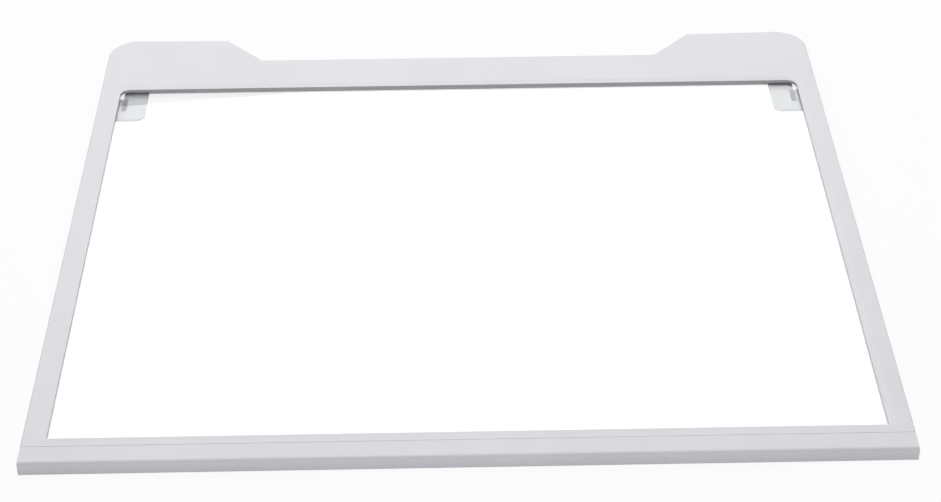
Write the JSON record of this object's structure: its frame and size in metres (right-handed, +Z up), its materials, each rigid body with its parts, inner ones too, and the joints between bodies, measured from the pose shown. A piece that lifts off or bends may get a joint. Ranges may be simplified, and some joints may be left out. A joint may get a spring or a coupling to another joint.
{
  "type": "refrigerator glass shelf",
  "caption": "Flat refrigerator shelf: a tempered glass pane in a white moulded frame with rear ears, corner feet and a push-on front trim.",
  "frame": {"origin": "on the surface that the feet stand on, below the middle of the shelf's outline", "axes": "+X across the shelf to the right as seen from its front, +Y from the front trim to the ears, +Z up"},
  "size_m": [0.44, 0.4108, 0.0154],
  "materials": {
    "tempered_glass": "gloss",
    "frame_plastic": "satin",
    "trim_plastic": "satin"
  },
  "bodies": {
    "root": {"glass_panel": "tempered_glass", "shelf_frame": "frame_plastic", "front_trim": "trim_plastic"}
  },
  "joints": []
}
